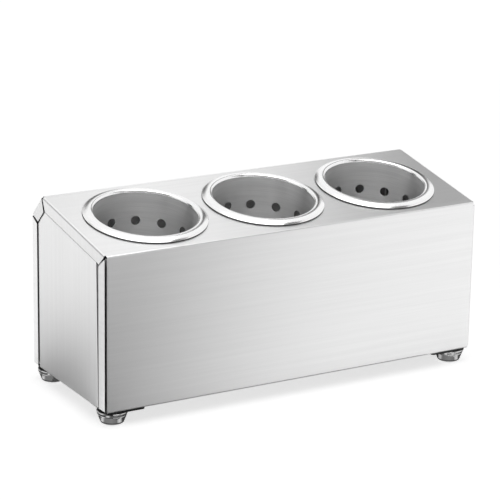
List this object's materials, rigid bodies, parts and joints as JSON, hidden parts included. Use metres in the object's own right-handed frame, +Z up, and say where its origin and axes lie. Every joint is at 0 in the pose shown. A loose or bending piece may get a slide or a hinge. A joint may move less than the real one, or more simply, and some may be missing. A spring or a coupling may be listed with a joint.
{
  "type": "cutlery cylinder holder",
  "caption": "Free-standing stainless steel housing with a sloping top, in which perforated cutlery cylinders hang side by side by their rims and lift out for washing.",
  "frame": {"origin": "on the surface that the holder stands on, under the middle of the housing", "axes": "+X along the row of cylinders, to the right seen from the front; +Y to the rear; +Z up"},
  "size_m": [0.4172, 0.1618, 0.1957],
  "materials": {
    "brushed_stainless": "fine straight brush",
    "plain_stainless": "mill finish",
    "cylinder_stainless": "polished rim, satin inside",
    "polished_foot": "turned and polished",
    "pad_rubber": "matt",
    "zinc_fasteners": "bright zinc"
  },
  "bodies": {
    "holder": {"housing": "brushed_stainless", "left_end_plate": "brushed_stainless", "right_end_plate": "brushed_stainless", "front_left_foot_plate": "plain_stainless", "front_right_foot_plate": "plain_stainless", "rear_right_foot_plate": "plain_stainless", "rear_left_foot_plate": "plain_stainless", "front_left_foot": "polished_foot", "front_right_foot": "polished_foot", "rear_right_foot": "polished_foot", "rear_left_foot": "polished_foot", "front_left_foot_pad": "pad_rubber", "front_right_foot_pad": "pad_rubber", "rear_right_foot_pad": "pad_rubber", "rear_left_foot_pad": "pad_rubber", "foot_screws": "zinc_fasteners", "foot_washers": "zinc_fasteners", "foot_nuts": "zinc_fasteners"},
    "left_cup": {"left_cylinder": "cylinder_stainless"},
    "middle_cup": {"middle_cylinder": "cylinder_stainless"},
    "right_cup": {"right_cylinder": "cylinder_stainless"}
  },
  "joints": [
    {"name": "left_lift", "type": "slide", "parent": "holder", "child": "left_cup", "axis": [0, -0.1702, 0.9854], "range_m": [0, 0.15]},
    {"name": "middle_lift", "type": "slide", "parent": "holder", "child": "middle_cup", "axis": [0, -0.1702, 0.9854], "range_m": [0, 0.15]},
    {"name": "right_lift", "type": "slide", "parent": "holder", "child": "right_cup", "axis": [0, -0.1702, 0.9854], "range_m": [0, 0.15]}
  ]
}
